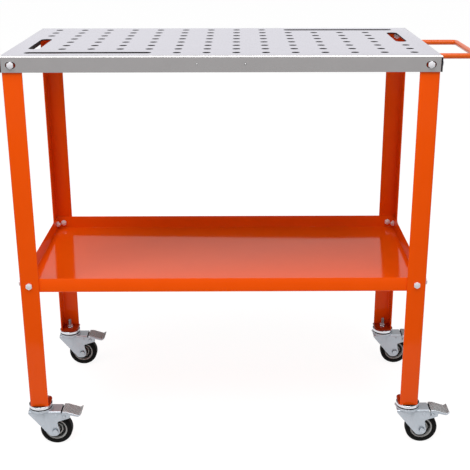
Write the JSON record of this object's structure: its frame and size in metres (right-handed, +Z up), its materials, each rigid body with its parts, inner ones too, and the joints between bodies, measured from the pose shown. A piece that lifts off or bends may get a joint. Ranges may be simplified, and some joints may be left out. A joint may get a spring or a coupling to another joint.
{
  "type": "mobile welding table",
  "caption": "Rolling welding table with a perforated folded steel top, clamp slots, angle legs, a tray shelf, a push handle and braked swivel casters.",
  "frame": {"origin": "on the floor, under the middle of the whole object's box", "axes": "+X along the table towards the push handle, +Y from the front to the rear, +Z up"},
  "size_m": [1.026, 0.4684, 0.92],
  "materials": {
    "top_coat": "light grey satin coat",
    "orange_paint": "glossy orange powder coat",
    "zinc": "bright zinc plate",
    "zinc_pressing": "bluish zinc plate",
    "wheel_grey": "grey moulded wheel centre",
    "tyre_rubber": "black rubber"
  },
  "bodies": {
    "table": {"table_top": "top_coat", "storage_shelf": "orange_paint", "push_handle": "orange_paint", "handle_screw_front": "zinc", "handle_screw_rear": "zinc", "leg_front_left": "orange_paint", "apron_bolt_end_front_left": "zinc", "apron_bolt_side_front_left": "zinc", "shelf_bolt_end_front_left": "zinc", "shelf_bolt_side_front_left": "zinc", "caster_stem_front_left": "zinc", "leg_front_right": "orange_paint", "apron_bolt_end_front_right": "zinc", "apron_bolt_side_front_right": "zinc", "shelf_bolt_end_front_right": "zinc", "shelf_bolt_side_front_right": "zinc", "caster_stem_front_right": "zinc", "leg_rear_right": "orange_paint", "apron_bolt_end_rear_right": "zinc", "apron_bolt_side_rear_right": "zinc", "shelf_bolt_end_rear_right": "zinc", "shelf_bolt_side_rear_right": "zinc", "caster_stem_rear_right": "zinc", "leg_rear_left": "orange_paint", "apron_bolt_end_rear_left": "zinc", "apron_bolt_side_rear_left": "zinc", "shelf_bolt_end_rear_left": "zinc", "shelf_bolt_side_rear_left": "zinc", "caster_stem_rear_left": "zinc"},
    "fork_front_left": {"caster_fork_front_left": "zinc_pressing", "caster_bearing_front_left": "zinc", "wheel_axle_front_left": "zinc", "brake_pin_front_left": "zinc"},
    "wheel_front_left": {"wheel_hub_front_left": "wheel_grey", "wheel_tyre_front_left": "tyre_rubber"},
    "pedal_front_left": {"brake_pedal_front_left": "zinc_pressing"},
    "fork_front_right": {"caster_fork_front_right": "zinc_pressing", "caster_bearing_front_right": "zinc", "wheel_axle_front_right": "zinc", "brake_pin_front_right": "zinc"},
    "wheel_front_right": {"wheel_hub_front_right": "wheel_grey", "wheel_tyre_front_right": "tyre_rubber"},
    "pedal_front_right": {"brake_pedal_front_right": "zinc_pressing"},
    "fork_rear_right": {"caster_fork_rear_right": "zinc_pressing", "caster_bearing_rear_right": "zinc", "wheel_axle_rear_right": "zinc", "brake_pin_rear_right": "zinc"},
    "wheel_rear_right": {"wheel_hub_rear_right": "wheel_grey", "wheel_tyre_rear_right": "tyre_rubber"},
    "pedal_rear_right": {"brake_pedal_rear_right": "zinc_pressing"},
    "fork_rear_left": {"caster_fork_rear_left": "zinc_pressing", "caster_bearing_rear_left": "zinc", "wheel_axle_rear_left": "zinc", "brake_pin_rear_left": "zinc"},
    "wheel_rear_left": {"wheel_hub_rear_left": "wheel_grey", "wheel_tyre_rear_left": "tyre_rubber"},
    "pedal_rear_left": {"brake_pedal_rear_left": "zinc_pressing"}
  },
  "joints": [
    {"name": "swivel_front_left", "type": "hinge", "parent": "table", "child": "fork_front_left", "pos_m": [-0.4836, -0.2048, 0.1046], "axis": [0, 0, 1], "continuous": true},
    {"name": "roll_front_left", "type": "hinge", "parent": "fork_front_left", "child": "wheel_front_left", "pos_m": [-0.4496, -0.2048, 0.0375], "axis": [0, 1, 0], "continuous": true},
    {"name": "brake_front_left", "type": "hinge", "parent": "fork_front_left", "child": "pedal_front_left", "pos_m": [-0.4266, -0.2048, 0.079], "axis": [0, 1, 0], "range_deg": [0, 12]},
    {"name": "swivel_front_right", "type": "hinge", "parent": "table", "child": "fork_front_right", "pos_m": [0.3832, -0.2048, 0.1046], "axis": [0, 0, 1], "continuous": true},
    {"name": "roll_front_right", "type": "hinge", "parent": "fork_front_right", "child": "wheel_front_right", "pos_m": [0.4172, -0.2048, 0.0375], "axis": [0, 1, 0], "continuous": true},
    {"name": "brake_front_right", "type": "hinge", "parent": "fork_front_right", "child": "pedal_front_right", "pos_m": [0.4402, -0.2048, 0.079], "axis": [0, 1, 0], "range_deg": [0, 12]},
    {"name": "swivel_rear_right", "type": "hinge", "parent": "table", "child": "fork_rear_right", "pos_m": [0.3832, 0.2048, 0.1046], "axis": [0, 0, 1], "continuous": true},
    {"name": "roll_rear_right", "type": "hinge", "parent": "fork_rear_right", "child": "wheel_rear_right", "pos_m": [0.4172, 0.2048, 0.0375], "axis": [0, 1, 0], "continuous": true},
    {"name": "brake_rear_right", "type": "hinge", "parent": "fork_rear_right", "child": "pedal_rear_right", "pos_m": [0.4402, 0.2048, 0.079], "axis": [0, 1, 0], "range_deg": [0, 12]},
    {"name": "swivel_rear_left", "type": "hinge", "parent": "table", "child": "fork_rear_left", "pos_m": [-0.4836, 0.2048, 0.1046], "axis": [0, 0, 1], "continuous": true},
    {"name": "roll_rear_left", "type": "hinge", "parent": "fork_rear_left", "child": "wheel_rear_left", "pos_m": [-0.4496, 0.2048, 0.0375], "axis": [0, 1, 0], "continuous": true},
    {"name": "brake_rear_left", "type": "hinge", "parent": "fork_rear_left", "child": "pedal_rear_left", "pos_m": [-0.4266, 0.2048, 0.079], "axis": [0, 1, 0], "range_deg": [0, 12]}
  ]
}
